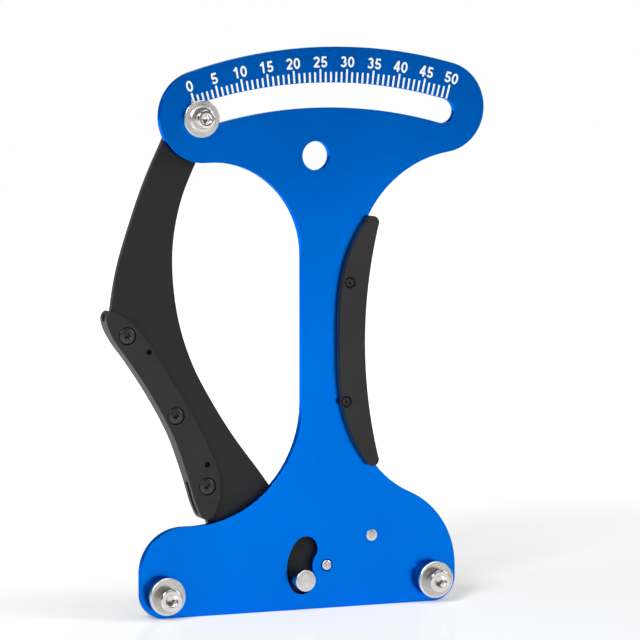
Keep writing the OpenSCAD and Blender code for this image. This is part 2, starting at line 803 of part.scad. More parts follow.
module swept_wire(points, r, sides) {
    normals = ring_normals(points);
    rings = [for (i = [0 : len(points) - 1])
        let (n = normals[i], b = cross(along(points, i), n))
        [for (k = [0 : sides - 1]) points[i] + r * (n * cos(360 * k / sides) + b * sin(360 * k / sides))]];
    last = len(points) - 1;
    polyhedron(
        points = [for (ring = rings) each ring],
        faces = concat(
            [for (k = [1 : sides - 2]) [0, k, k + 1]],
            [for (i = [0 : last - 1], k = [0 : sides - 1])
                let (a = i * sides + k, b = i * sides + (k + 1) % sides)
                each [[a, a + sides, b], [b, a + sides, b + sides]]],
            [for (k = [1 : sides - 2]) [last * sides, last * sides + k + 1, last * sides + k]]));
}

far_apart = ceil(ring_steps * 0.6);
spring_gap = min([for (i = [0 : len(wire_points) - 1 - far_apart], j = [i + far_apart : len(wire_points) - 1])
    norm(wire_points[i] - wire_points[j])]) - wire_d;
echo(least_gap_of_spring_to_itself = spring_gap);

module return_spring() {
    color(steel)
        swept_wire(wire_points, wire_d / 2, 6);
}

// Lever: places along its edge, clockwise from the pointer's end, down the inner side, round the pivot, and
// up the outer side

function around(at, r, angle) = at + r * [cos(angle), sin(angle)];
lever_edge = concat(
    [for (angle = [150, 100, 50, 0]) around(pointer_at, lever_tip_r, angle)],
    drawn([[-46.6, 162.5], [-51.4, 153.7], [-57, 140.5], [-60.2, 126], [-60.6, 111.9], [-58.2, 94.5], [-52.9, 78.5],
        [-45.8, 65.1], [-36.7, 50.8], [-26.3, 37], [-16.6, 23.8], [-8.5, 14.2]]),
    [around([0, 0], lever_hub_r, 75), around([0, 0], lever_hub_r, 35)],
    [for (angle = [30, -30, -90]) around(tail_at, tail_boss_r, angle)],
    [around([0, 0], lever_hub_r + 0.6, -100)],
    [for (angle = [-75, -125]) around(moving_post_at, lever_crank_r, angle)],
    drawn([[-24, -4.6], [-34, 3.2], [-41.6, 9.8], [-46, 16], [-48.7, 24.5], [-52.7, 36], [-59.3, 52.6],
        [-67.9, 68.2], [-76.2, 80.9], [-82.6, 89.5], [-85, 94.8], [-84.5, 101.5], [-81.9, 115.5], [-77.3, 130.3],
        [-71.9, 145.2], [-65.6, 159.2]]));
lever_points = smooth(lever_edge, 5);

module lever_plate() {
    color(lever_black)
        difference() {
            slab(lever_front, lever_t)
                polygon(lever_points);
            rod([0, 0], lever_front - 1, lever_rear + 1, pivot_r + pivot_clearance);
            rod(moving_post_at, lever_front - 1, lever_rear + 1, moving_post_stem_r);
            rod(tail_at, lever_front - 1, lever_rear + 1, spring_pin_r);
            rod(pointer_at, lever_front - 1, lever_rear + 1, m4_r + screw_clearance);
            for (at = lever_grip_screws_at)
                rod(at, lever_front - 1, lever_rear + 1, m3_r + screw_clearance);
        }
}

module moving_post() {
    face = plate_front - moving_post_reach;
    edge = 0.35;
    head_t = 0.6;
    color(steel)
        turned(moving_post_at, [
            [0, face],
            [moving_post_r - edge, face],
            [moving_post_r, face + edge],
            [moving_post_r, lever_front],
            [moving_post_stem_r, lever_front],
            [moving_post_stem_r, lever_rear],
            [moving_post_stem_r + 0.8, lever_rear],
            [moving_post_stem_r + 0.5, lever_rear + head_t],
            [0, lever_rear + head_t]]);
}

// Lever grip: two moulded halves that close round the lever's outer edge

// Places along its edge, clockwise from the upper tip
lever_grip_edge = drawn([
    [-85.6, 99.3], [-81.9, 97.7], [-76.5, 93.7], [-69, 84.2], [-61.5, 72], [-52.3, 57], [-46.2, 44.7],
    [-42.9, 35.3], [-43.2, 26.9], [-46.4, 20.3], [-49.3, 20], [-51.9, 24.5], [-55.2, 35], [-61.2, 51.6],
    [-69.8, 67.3], [-78, 79.7], [-84.2, 88.2], [-86.9, 93.6], [-87.3, 97.4]]);

lever_grip_points = smooth(lever_grip_edge, 5);

// A round-ended bar between two places
module capsule(a, b, r) {
    turn = angle_to(a, b);
    polygon(concat(arc(a, r, turn + 90, turn + 270, 15), arc(b, r, turn - 90, turn + 90, 15)));
}

// The grip is open along its outer edge near the bottom, and at its upper tip
module grip_vents() {
    side_vent = drawn([[-54.4, 32.6], [-51, 23]]);
    tip_vent = drawn([[-88, 97.6], [-86.6, 96.4]]);
    capsule(side_vent[0], side_vent[1], 1.5);
    capsule(tip_vent[0], tip_vent[1], 1.1);
}

module lever_grip_half(outer, inner, middle) {
    slab(min(outer, inner), abs(inner - outer))
        polygon(lever_grip_points);
    slab(min(inner, middle) - (inner < middle ? eps : 0), abs(middle - inner) + eps)
        difference() {
            polygon(lever_grip_points);
            polygon(outset(lever_points, lever_grip_clearance));
        }
}

module lever_grip_front() {
    outer = lever_front - lever_grip_t;
    color(grip_black)
        difference() {
            lever_grip_half(outer, lever_front, lever_mid);
            slab(lever_front + 0.2, lever_t)
                grip_vents();
            for (at = lever_grip_screws_at) {
                rod(at, outer - 1, lever_front + 1, m3_r + screw_clearance);
                rod(at, outer - 1, outer + well_depth, well_r);
            }
            for (at = locating_holes_at)
                rod(at, outer - 1, lever_front + 1, locating_hole_r);
        }
}

module lever_grip_rear() {
    outer = lever_rear + lever_grip_t;
    color(grip_black)
        difference() {
            lever_grip_half(outer, lever_rear, lever_mid);
            slab(lever_front, lever_t - 0.2)
                grip_vents();
            for (at = lever_grip_screws_at) {
                rod(at, lever_rear - 1, outer + 1, m3_r + screw_clearance);
                rod(at, outer - m3_nut_h, outer + 1, m3_nut_w / sqrt(3) + screw_clearance, 6);
            }
        }
}

module lever_grip_screws() {
    seat = lever_front - lever_grip_t + well_depth;
    color(dark_steel)
        for (at = lever_grip_screws_at)
            dome_screw(at, seat, lever_rear + lever_grip_t - 0.1, m3_r, m3_head_r, well_depth, m3_key);
}

module lever_grip_nuts() {
    color(dark_steel)
        for (at = lever_grip_screws_at)
            hex_nut(at, lever_rear + lever_grip_t - m3_nut_h, m3_nut_h - 0.1, m3_nut_w, m3_r);
}

// Pointer

module pointer_disc() {
    bore = m4_r + screw_clearance;
    edge = 0.3;
    tip_r = disc_r + index_reach;
    foot = disc_r - 0.6;
    color(steel) {
        turned(pointer_at, [
            [bore, disc_rear],
            [disc_r, disc_rear],
            [disc_r, disc_front + edge],
            [disc_r - edge, disc_front],
            [disc_step_r + 0.2, disc_front],
            [disc_step_r, disc_face],
            [bore, disc_face]]);
        slab(disc_rear - disc_t * 0.6, disc_t * 0.6)
            translate(pointer_at)
                rotate(-index_bearing)
                    polygon([[-index_half_w, foot], [0, tip_r], [index_half_w, foot]]);
    }
}

module pointer_sleeve() {
    color(steel)
        turned(pointer_at, [
            [m4_r + screw_clearance, disc_rear],
            [sleeve_r, disc_rear],
            [sleeve_r, lever_front],
            [m4_r + screw_clearance, lever_front]]);
}

pointer_nut_y = lever_rear + m4_washer_t;

module pointer_screw() {
    color(steel)
        cap_screw(pointer_at, disc_face, pointer_nut_y + m4_nut_h + 0.6, m4_r, m4_head_r, m4_head_h, m4_key);
}

module pointer_washer() {
    color(steel)
        flat_washer(pointer_at, lever_rear, m4_washer_t, m4_r + screw_clearance, m4_washer_r);
}

module pointer_nut() {
    color(steel)
        hex_nut(pointer_at, pointer_nut_y, m4_nut_h, m4_nut_w, m4_r);
}

body_plate();
left_post();
right_post();
post_screws();
post_washers();
post_nuts();
body_grip_front();
body_grip_rear();
body_grip_screws();
body_grip_nuts();
pivot_pin();
thrust_washer_front();
thrust_washer_rear();
retaining_clip();
spring_anchor();
return_spring();
lever_plate();
moving_post();
spring_pin();
lever_grip_front();
lever_grip_rear();
lever_grip_screws();
lever_grip_nuts();
pointer_disc();
pointer_sleeve();
pointer_screw();
pointer_washer();
pointer_nut();
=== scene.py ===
"""Looks of the spoke tension meter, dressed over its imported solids. Lengths are metres."""

import json
import math

import bmesh
import bpy
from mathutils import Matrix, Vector


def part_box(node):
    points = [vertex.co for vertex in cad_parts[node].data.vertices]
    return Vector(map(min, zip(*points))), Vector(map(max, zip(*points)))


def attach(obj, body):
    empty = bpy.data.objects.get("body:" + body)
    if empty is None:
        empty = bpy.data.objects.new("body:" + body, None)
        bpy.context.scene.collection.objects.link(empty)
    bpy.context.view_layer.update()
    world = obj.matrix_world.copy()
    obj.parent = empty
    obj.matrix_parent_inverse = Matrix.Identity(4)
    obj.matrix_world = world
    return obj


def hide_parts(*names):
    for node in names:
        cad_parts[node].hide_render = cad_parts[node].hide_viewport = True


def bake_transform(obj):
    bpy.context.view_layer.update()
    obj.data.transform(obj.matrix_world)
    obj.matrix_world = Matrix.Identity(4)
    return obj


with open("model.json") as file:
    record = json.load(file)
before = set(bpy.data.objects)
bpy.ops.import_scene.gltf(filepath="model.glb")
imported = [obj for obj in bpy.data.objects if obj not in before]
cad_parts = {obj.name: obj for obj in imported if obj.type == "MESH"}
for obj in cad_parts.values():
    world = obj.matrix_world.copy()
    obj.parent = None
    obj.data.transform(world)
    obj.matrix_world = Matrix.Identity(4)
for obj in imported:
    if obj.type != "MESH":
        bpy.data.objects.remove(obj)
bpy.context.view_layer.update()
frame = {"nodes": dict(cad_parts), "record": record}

MM = 0.001
PIVOT_HEIGHT = 16.5 * MM
PLATE_FRONT = -1.5 * MM
PLATE_REAR = 1.5 * MM


# ---- Places ---------------------------------------------------------------------------------------------

def polar(radius, bearing):
    """A place in the shared frame, from its distance and its bearing at the pivot. Bearings are degrees,
    clockwise from up."""
    angle = math.radians(bearing)
    return Vector((radius * math.sin(angle), 0, PIVOT_HEIGHT + radius * math.cos(angle)))


def node_centre(node):
    """The middle of a solid's box."""
    low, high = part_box(node)
    return (low + high) / 2


# ---- Node trees -----------------------------------------------------------------------------------------

def place(tree, kind, settings=None, inputs=None):
    """Adds a node; an input is a value, or the output socket that feeds it."""
    node = tree.nodes.new(kind)
    for name, value in (settings or {}).items():
        setattr(node, name, value)
    for name, value in (inputs or {}).items():
        if isinstance(value, bpy.types.NodeSocket):
            tree.links.new(value, node.inputs[name])
        else:
            node.inputs[name].default_value = value
    return node


def maths(tree, operation, a, b=None, clamp=False):
    """The result of a sum of one or two values."""
    inputs = {0: a} if b is None else {0: a, 1: b}
    return place(tree, "ShaderNodeMath", {"operation": operation, "use_clamp": clamp}, inputs).outputs[0]


def spread(tree, value, low, high, to_low, to_high):
    """Maps value from low..high to to_low..to_high, held at both ends."""
    return place(tree, "ShaderNodeMapRange", {"clamp": True}, {
        "Value": value, "From Min": low, "From Max": high, "To Min": to_low, "To Max": to_high}).outputs[0]


def effect_group(name, inputs, outputs):
    """An empty shader group, with its input and output nodes; inputs are (name, kind, value)."""
    group = bpy.data.node_groups.new(name, "ShaderNodeTree")
    for label, kind, value in inputs:
        socket = group.interface.new_socket(label, in_out="INPUT", socket_type=kind)
        if value is not None:
            socket.default_value = value
    for label, kind in outputs:
        group.interface.new_socket(label, in_out="OUTPUT", socket_type=kind)
    return group, group.nodes.new("NodeGroupInput"), group.nodes.new("NodeGroupOutput")


# A lathe's marks have this many broad bands for each fine ring. Scratches run in two ways, each with its
# turn in radians and the cycles a metre of its noise on X, Y and Z. They fade in between the two levels.
BANDS_PER_RING = 0.12
SCRATCH_RUNS = ((0.5, (2600.0, 2600.0, 60.0)), (-0.9, (1900.0, 1900.0, 45.0)))
SCRATCH_LEVELS = (0.70, 0.76)


def make_surface_grain():
    """Fine grain for bump, and broad soft patches for colour and roughness."""
    group, given, result = effect_group(
        "Surface Grain",
        [("Grain Per Metre", "NodeSocketFloat", 3000.0), ("Patches Per Metre", "NodeSocketFloat", 30.0)],
        [("Height", "NodeSocketFloat"), ("Patches", "NodeSocketFloat")])
    where = place(group, "ShaderNodeTexCoord").outputs["Object"]
    fine = place(group, "ShaderNodeTexNoise", None, {
        "Vector": where, "Scale": given.outputs["Grain Per Metre"], "Detail": 3.0, "Roughness": 0.6})
    broad = place(group, "ShaderNodeTexNoise", None, {
        "Vector": where, "Scale": given.outputs["Patches Per Metre"], "Detail": 2.0, "Roughness": 0.5})
    group.links.new(fine.outputs["Fac"], result.inputs["Height"])
    group.links.new(broad.outputs["Fac"], result.inputs["Patches"])
    return group


def make_turning_marks():
    """Concentric tool marks about the object's own Y axis, as a lathe leaves them."""
    group, given, result = effect_group(
        "Turning Marks",
        [("Rings Per Metre", "NodeSocketFloat", 5000.0)],
        [("Height", "NodeSocketFloat"), ("Bands", "NodeSocketFloat")])
    where = place(group, "ShaderNodeTexCoord").outputs["Object"]
    flat = place(group, "ShaderNodeVectorMath", {"operation": "MULTIPLY"}, {0: where, 1: (1.0, 0.0, 1.0)})
    radius = place(group, "ShaderNodeVectorMath", {"operation": "LENGTH"}, {0: flat.outputs[0]})
    depth = place(group, "ShaderNodeSeparateXYZ", None, {0: where})
    across = maths(group, "ADD", radius.outputs["Value"], depth.outputs["Y"])
    steps = maths(group, "MULTIPLY", across, given.outputs["Rings Per Metre"])
    rings = place(group, "ShaderNodeTexNoise", {"noise_dimensions": "1D"}, {
        "W": steps, "Scale": 1.0, "Detail": 2.0, "Roughness": 0.7})
    bands = place(group, "ShaderNodeTexNoise", {"noise_dimensions": "1D"}, {
        "W": maths(group, "MULTIPLY", steps, BANDS_PER_RING), "Scale": 1.0, "Detail": 1.0})
    group.links.new(rings.outputs["Fac"], result.inputs["Height"])
    group.links.new(bands.outputs["Fac"], result.inputs["Bands"])
    return group


def make_fine_scratches():
    """Sparse hairline scratches that run in two directions."""
    group, given, result = effect_group(
        "Fine Scratches",
        [("Share", "NodeSocketFloat", 0.1)],
        [("Mask", "NodeSocketFloat")])
    where = place(group, "ShaderNodeTexCoord").outputs["Object"]
    found = []
    for angle, stretch in SCRATCH_RUNS:
        turned = place(group, "ShaderNodeVectorRotate", {"rotation_type": "Y_AXIS"}, {
            "Vector": where, "Angle": angle}).outputs[0]
        drawn = place(group, "ShaderNodeVectorMath", {"operation": "MULTIPLY"}, {0: turned, 1: stretch})
        noise = place(group, "ShaderNodeTexNoise", None, {
            "Vector": drawn.outputs[0], "Scale": 1.0, "Detail": 1.0}).outputs["Fac"]
        found.append(spread(group, noise, *SCRATCH_LEVELS, 0.0, 1.0))
    either = maths(group, "MAXIMUM", found[0], found[1])
    group.links.new(maths(group, "MULTIPLY", either, given.outputs["Share"]), result.inputs["Mask"])
    return group


GRAIN = make_surface_grain()
TURNING = make_turning_marks()
SCRATCHES = make_fine_scratches()


def effect(tree, group, **inputs):
    """Places an effect group with its own values; an underscore stands for the space in an input's name."""
    node = place(tree, "ShaderNodeGroup", {"node_tree": group})
    for name, value in inputs.items():
        node.inputs[name.replace("_", " ")].default_value = value
    return node


# ---- Finishes -------------------------------------------------------------------------------------------

# Most of a noise's values fall in NOISE_SPAN, and those of a lathe's bands in BAND_SPAN. BROAD_SHARE is the
# patches' part of a colour's drift, and SCRATCH_POLISH how much smoother a full scratch is than the rest.
NOISE_SPAN = (0.3, 0.7)
BAND_SPAN = (0.35, 0.65)
BROAD_SHARE = 0.6
SCRATCH_POLISH = 0.2


def colour_between(tree, share, first, second):
    """Mixes two linear colours by a share from 0 to 1."""
    mix = place(tree, "ShaderNodeMix", {"data_type": "RGBA"})
    tree.links.new(share, mix.inputs["Factor"])
    for socket, colour in zip([s for s in mix.inputs if s.type == "RGBA"], (first, second)):
        socket.default_value = (*colour, 1.0)
    return next(s for s in mix.outputs if s.type == "RGBA")


def new_finish(name):
    """A material with its node tree and its shader."""
    material = bpy.data.materials.new(name)
    material.use_nodes = True
    tree = material.node_tree
    shader = next(n for n in tree.nodes if n.type == "BSDF_PRINCIPLED")
    return material, tree, shader


def grained_finish(name, dark, light, roughness, grain, depth, metallic=0.0, patches=30.0, scratches=0.0,
                   specular=0.5, rim_tint=(1.0, 1.0, 1.0)):
    """A finish with fine grain: its colour drifts between two in broad patches, and every grain is a little
    darker or lighter, and rougher or smoother, than the next. Grain and patches are cycles a metre."""
    material, tree, shader = new_finish(name)
    shader.inputs["Metallic"].default_value = metallic
    shader.inputs["Specular IOR Level"].default_value = specular
    shader.inputs["Specular Tint"].default_value = (*rim_tint, 1.0)
    grained = effect(tree, GRAIN, Grain_Per_Metre=grain, Patches_Per_Metre=patches)
    broad = spread(tree, grained.outputs["Patches"], *NOISE_SPAN, 0.0, BROAD_SHARE)
    fine = spread(tree, grained.outputs["Height"], *NOISE_SPAN, 0.0, 1.0 - BROAD_SHARE)
    colour = colour_between(tree, maths(tree, "ADD", broad, fine), dark, light)
    rough = spread(tree, grained.outputs["Height"], *NOISE_SPAN, *roughness)
    if scratches:
        marked = effect(tree, SCRATCHES, Share=scratches).outputs["Mask"]
        rough = maths(tree, "SUBTRACT", rough, maths(tree, "MULTIPLY", marked, SCRATCH_POLISH))
    tree.links.new(colour, shader.inputs["Base Color"])
    tree.links.new(rough, shader.inputs["Roughness"])
    bump = place(tree, "ShaderNodeBump", None, {
        "Height": grained.outputs["Height"], "Distance": depth, "Strength": 0.6})
    tree.links.new(bump.outputs["Normal"], shader.inputs["Normal"])
    return material


def turned_finish(name, dark, light, roughness, rings, depth, anisotropic=0.0):
    """Metal with lathe marks about the piece's own axis. Rings are cycles a metre."""
    material, tree, shader = new_finish(name)
    shader.inputs["Metallic"].default_value = 1.0
    shader.inputs["Anisotropic"].default_value = anisotropic
    marks = effect(tree, TURNING, Rings_Per_Metre=rings)
    share = spread(tree, marks.outputs["Bands"], *BAND_SPAN, 0.0, 1.0)
    tree.links.new(colour_between(tree, share, dark, light), shader.inputs["Base Color"])
    rough = spread(tree, marks.outputs["Height"], *NOISE_SPAN, *roughness)
    tree.links.new(rough, shader.inputs["Roughness"])
    bump = place(tree, "ShaderNodeBump", None, {
        "Height": marks.outputs["Height"], "Distance": depth, "Strength": 0.5})
    tree.links.new(bump.outputs["Normal"], shader.inputs["Normal"])
    if anisotropic:
        tangent = place(tree, "ShaderNodeTangent", {"direction_type": "RADIAL", "axis": "Y"})
        tree.links.new(tangent.outputs[0], shader.inputs["Tangent"])
    return material


anodised_blue = grained_finish(
    "Anodised blue aluminium", (0.0, 0.162, 0.72), (0.0, 0.205, 0.91), roughness=(0.17, 0.28),
    grain=3200.0, depth=0.045 * MM, metallic=1.0, patches=22.0, scratches=0.12, rim_tint=(0.25, 0.50, 0.95))
black_coat = grained_finish(
    "Black coated steel", (0.012, 0.012, 0.0118), (0.019, 0.019, 0.0186), roughness=(0.32, 0.46),
    grain=3600.0, depth=0.03 * MM, patches=40.0, scratches=0.15, specular=0.24)
grip_moulding = grained_finish(
    "Black grip moulding", (0.016, 0.016, 0.0158), (0.024, 0.024, 0.0235), roughness=(0.34, 0.50),
    grain=4200.0, depth=0.05 * MM, patches=60.0, specular=0.30)
black_oxide = grained_finish(
    "Black oxide steel", (0.030, 0.030, 0.031), (0.060, 0.060, 0.062), roughness=(0.24, 0.38),
    grain=6000.0, depth=0.01 * MM, metallic=0.6, patches=200.0)
zinc_plate = grained_finish(
    "Zinc plated steel", (0.52, 0.53, 0.56), (0.66, 0.67, 0.69), roughness=(0.20, 0.34),
    grain=5000.0, depth=0.01 * MM, metallic=1.0, patches=150.0, scratches=0.3)
screw_steel = turned_finish(
    "Stainless screw steel", (0.68, 0.66, 0.63), (0.82, 0.80, 0.77), roughness=(0.14, 0.22),
    rings=2600.0, depth=0.004 * MM)
turned_steel = turned_finish(
    "Turned stainless steel", (0.62, 0.60, 0.565), (0.85, 0.825, 0.785), roughness=(0.20, 0.32),
    rings=2600.0, depth=0.005 * MM, anisotropic=0.75)
drawn_wire = grained_finish(
    "Drawn spring wire", (0.36, 0.36, 0.37), (0.52, 0.52, 0.53), roughness=(0.16, 0.30),
    grain=7000.0, depth=0.01 * MM, metallic=1.0, patches=300.0)
# Near-black painted shade, for the rings put into the grooves of the body grip's screws, where there is only
# shade
painted_shade_black = grained_finish(
    "Painted shade black", (0.002, 0.002, 0.002), (0.004, 0.004, 0.004), roughness=(0.6, 0.8),
    grain=6000.0, depth=0.01 * MM, specular=0.05)
natural_nylon = grained_finish(
    "Natural nylon", (0.70, 0.70, 0.65), (0.78, 0.78, 0.73), roughness=(0.35, 0.5),
    grain=3000.0, depth=0.02 * MM, patches=200.0)
printed_white = grained_finish(
    "White printing ink", (0.84, 0.85, 0.86), (0.92, 0.92, 0.92), roughness=(0.40, 0.55),
    grain=6000.0, depth=0.01 * MM, patches=500.0)


# ---- Pieces over the solids -----------------------------------------------------------------------------

# Edges that turn more than SOFT_EDGE are eased. Points nearer than SAME_POINT are one, and faces that turn
# less than FLAT_TURN are flat.
SOFT_EDGE = math.radians(28)
SAME_POINT = 0.002 * MM
FLAT_TURN = math.radians(0.6)
EASING_SEGMENTS = 3


def bare_copy(node):
    """A clean copy of a solid's mesh, with its flat faces whole again."""
    shape = bmesh.new()
    shape.from_mesh(frame["nodes"][node].data)
    bmesh.ops.remove_doubles(shape, verts=shape.verts, dist=SAME_POINT)
    bmesh.ops.dissolve_limit(shape, angle_limit=FLAT_TURN, verts=shape.verts, edges=shape.edges)
    return shape


def box_centre(shape):
    """The middle of a mesh's box."""
    low = Vector([min(v.co[k] for v in shape.verts) for k in range(3)])
    high = Vector([max(v.co[k] for v in shape.verts) for k in range(3)])
    return (low + high) / 2


def connected_group(vert, waiting):
    """The indices of the points that edges join to vert, taken out of waiting."""
    group, to_visit = {vert.index}, [vert]
    while to_visit:
        here = to_visit.pop()
        for line in here.link_edges:
            other = line.other_vert(here)
            if other.index in waiting:
                waiting.discard(other.index)
                group.add(other.index)
                to_visit.append(other)
    return group


def separate_solids(shape):
    """Each solid of a copy as a copy of its own, from the left to the right and then upwards."""
    shape.verts.index_update()
    waiting = {v.index for v in shape.verts}
    solids = []
    for vert in shape.verts:
        if vert.index in waiting:
            waiting.discard(vert.index)
            group = connected_group(vert, waiting)
            solid = shape.copy()
            others = [v for v in solid.verts if v.index not in group]
            bmesh.ops.delete(solid, geom=others, context="VERTS")
            solids.append(solid)
    shape.free()
    return sorted(solids, key=lambda solid: (round(box_centre(solid).x, 4), round(box_centre(solid).z, 4)))


def body_of(node):
    """The body that a node rides on."""
    bodies = frame["record"]["behaviour"]["bodies"]
    return next(body for body, members in bodies.items() if node in members)


def smooth_shading(mesh):
    """Shades all faces of a mesh smoothly."""
    for face in mesh.polygons:
        face.use_smooth = True


def stand_for(piece, node, finish, slot):
    """Gives a piece its finish, hangs it on the body of the node that it stands for, and hides that node."""
    piece.data.materials.append(finish)
    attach(piece, body_of(node))
    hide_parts(node)


def placed_piece(name, shape, centre):
    """Makes an object of a shape that was drawn about its own centre."""
    mesh = bpy.data.meshes.new(name)
    shape.to_mesh(mesh)
    shape.free()
    smooth_shading(mesh)
    piece = bpy.data.objects.new(name, mesh)
    bpy.context.scene.collection.objects.link(piece)
    piece.location = centre
    return piece


def ease_edges(piece, edge, limit):
    """Rounds the sharp edges and keeps flat faces flat in the shading."""
    easing = piece.modifiers.new("Eased edges", "BEVEL")
    easing.width = edge
    easing.segments = EASING_SEGMENTS
    easing.limit_method = limit
    easing.angle_limit = SOFT_EDGE
    easing.use_clamp_overlap = True
    easing.miter_outer = "MITER_ARC"
    even = piece.modifiers.new("Even shading", "WEIGHTED_NORMAL")
    even.keep_sharp = True
    even.weight = 50


def each_solid(node, label):
    """The solids of a node, each with a name for its piece."""
    solids = separate_solids(bare_copy(node))
    for count, shape in enumerate(solids, start=1):
        name = f"{node}_{label}" if len(solids) == 1 else f"{node}_{label}_{count}"
        yield name, shape


def dress(node, finish, slot, edge):
    """Stands a copy with eased edges for each solid of a node."""
    for name, shape in each_solid(node, "look"):
        weight = shape.edges.layers.float.new("bevel_weight_edge")
        for line in shape.edges:
            if len(line.link_faces) == 2 and line.calc_face_angle(0.0) > SOFT_EDGE:
                line[weight] = 1.0
        centre = box_centre(shape)
        bmesh.ops.translate(shape, verts=shape.verts, vec=-centre)
        piece = placed_piece(name, shape, centre)
        ease_edges(piece, edge, limit="WEIGHT")
        stand_for(piece, node, finish, slot)


dress("body_plate", anodised_blue, "anodised_plate", edge=0.2 * MM)
dress("lever_plate", black_coat, "black_lever", edge=0.75 * MM)
for grip in ("lever_grip_front", "lever_grip_rear", "body_grip_front", "body_grip_rear"):
    dress(grip, grip_moulding, "grip_plastic", edge=0.5 * MM)
dress("retaining_clip", drawn_wire, "spring_steel", edge=0.06 * MM)


# ---- Turned pieces --------------------------------------------------------------------------------------
# A profile is a list of (radius, depth) from one end to the other, or all the way round a ring; depth runs
# along Y, to the rear. A radius or a depth may be a function of the angle, for hexagons and cross recesses.
# Each profile's function takes the front and the rear of its solid, and an underscore marks an unused one.

TURN_STEPS = 96
SOCKET_LIP = 0.3 * MM
CROWN = 0.5 * MM
CROWN_STEPS = 4
COLLAR_HEIGHT = 1.4 * MM

# The spring lies at this depth, in grooves of the two pins
SPRING_DEPTH = 8.2 * MM
PIN_GROOVE = 1.4 * MM
PIN_GROOVE_WIDTH = 1.3 * MM


def hexagon(width):
    """The radius of a hexagon of that width across its flats, by angle."""
    return lambda angle: width / 2 / math.cos(angle % (math.pi / 3) - math.pi / 6)


def cross(length, width):
    """The radius of a cross recess by angle, from the length and width of its arms."""
    def radius(angle):
        along, beside = sorted((abs(math.cos(angle)), abs(math.sin(angle))), reverse=True)
        return min(length / 2 / along, width / 2 / max(beside, 0.001))
    return radius


def turned_shape(profile, ring):
    """Turns a profile about the Y axis. A ring's profile closes on itself."""
    shape = bmesh.new()
    angles = [2 * math.pi * step / TURN_STEPS for step in range(TURN_STEPS)]
    rows = []
    for radius, depth in profile:
        row = []
        for angle in angles if radius else angles[:1]:
            out = radius(angle) if callable(radius) else radius
            along = depth(angle) if callable(depth) else depth
            row.append(shape.verts.new((out * math.cos(angle), along, out * math.sin(angle))))
        rows.append(row)
    pairs = list(zip(rows, rows[1:])) + ([(rows[-1], rows[0])] if ring else [])
    for near, far in pairs:
        for step in range(TURN_STEPS):
            onward = (step + 1) % TURN_STEPS
            corners = (near[step % len(near)], near[onward % len(near)],
                       far[onward % len(far)], far[step % len(far)])
            shape.faces.new(list(dict.fromkeys(corners)))
    bmesh.ops.recalc_face_normals(shape, faces=shape.faces)
    return shape


def turn(name, node, centre, profile, finish, slot, ring=False, edge=0.1 * MM):
    """A turned piece on the Y line through centre, that stands for a node."""
    piece = placed_piece(name, turned_shape(profile, ring), (centre.x, 0, centre.z))
    ease_edges(piece, edge, limit="ANGLE")
    stand_for(piece, node, finish, slot)


def ends_of(shape):
    """How far a solid reaches to the front and to the rear."""
    depths = [v.co.y for v in shape.verts]
    return min(depths), max(depths)


def crowned(head, face):
    """The rounded edge of a head's face, from its side to its front."""
    angles = [math.pi / 2 * step / CROWN_STEPS for step in range(CROWN_STEPS + 1)]
    return [(head - CROWN + CROWN * math.cos(a), face + CROWN - CROWN * math.sin(a)) for a in angles]


def socket_profile(face, depth, key):
    """A hexagon socket with a small countersink and a drilled floor."""
    floor = face + depth
    drill_point = key * 0.15
    return [(key / math.sqrt(3) + SOCKET_LIP / 2, face), (hexagon(key), face + SOCKET_LIP),
            (hexagon(key), floor), (0, floor + drill_point)]


def shank_profile(end, radius, seat):
    """The end of a screw with its chamfer, up to the seat of its head."""
    chamfer = 0.35 * MM
    return [(0, end), (radius - chamfer, end), (radius, end - chamfer), (radius, seat)]


def cap_screw(face, end, radius, head, height, key):
    """A socket screw with a cylindrical head."""
    seat = face + height
    socket_depth = height * 0.6
    return (shank_profile(end, radius, seat) + [(head, seat)] + crowned(head, face)
            + socket_profile(face, socket_depth, key))


def dome_screw(face, end, radius, head, height, key):
    """A socket screw with a low domed head, as it sits in a grip's well."""
    seat = face + height
    side, socket_depth = 0.35 * MM, height * 1.4
    step_angle, steps = math.radians(10), 6
    swell = (height - side) / math.sin(step_angle * steps)
    angles = [step_angle * step for step in range(steps + 1)]
    dome = [(head * math.cos(a), seat - side - swell * math.sin(a)) for a in angles]
    return shank_profile(end, radius, seat) + [(head, seat)] + dome + socket_profile(face, socket_depth, key)


def sunk_screw(face, end, radius, head, recess):
    """A countersunk screw with a cross recess. A groove round its crest holds a ring of painted shade."""
    sink, rim, crest = 1.4 * MM, 0.12 * MM, 1.45 * MM
    crown, groove = face + 0.1 * MM, face + 0.5 * MM
    arms, floor = cross(recess, recess * 0.3), crown + 1.0 * MM
    drill_point = 0.2 * MM
    return (shank_profile(end, radius, face + sink)
            + [(head, face + rim), (head - rim, face), (head - 2 * rim, face), (head - 3 * rim, groove),
               (crest + rim, groove), (crest, crown), (arms, crown), (arms, floor),
               (0, floor + drill_point)])


def sunk_screw_gap(face, _end):
    """A near-black ring of painted shade in the groove of a countersunk screw, where there is only shade."""
    return plain_ring(face + 0.1 * MM, face + 0.48 * MM, bore=1.52 * MM, radius=2.1 * MM, edge=0.03 * MM)


def nut(front, rear, bore, width):
    """A hexagon nut, chamfered at both ends."""
    face, slope = width * 0.475, 0.55
    side = hexagon(width)
    return [(bore, front), (face, front), (side, lambda angle: front + (side(angle) - face) * slope),
            (side, lambda angle: rear - (side(angle) - face) * slope), (face, rear), (bore, rear)]


def lock_nut(front, rear, bore, width):
    """The hexagon of a lock nut, as far as its collar."""
    return nut(front, rear - COLLAR_HEIGHT, bore, width)


def lock_collar(_front, rear):
    """The rounded collar of a lock nut, sunk a little into its hexagon."""
    bore, side, crest, rim = 2.53 * MM, 3.68 * MM, 3.45 * MM, 3.25 * MM
    foot = rear - COLLAR_HEIGHT - 0.1 * MM
    return [(bore, foot), (side, foot), (side, rear - 0.6 * MM), (crest, rear - 0.15 * MM), (rim, rear),
            (bore, rear)]


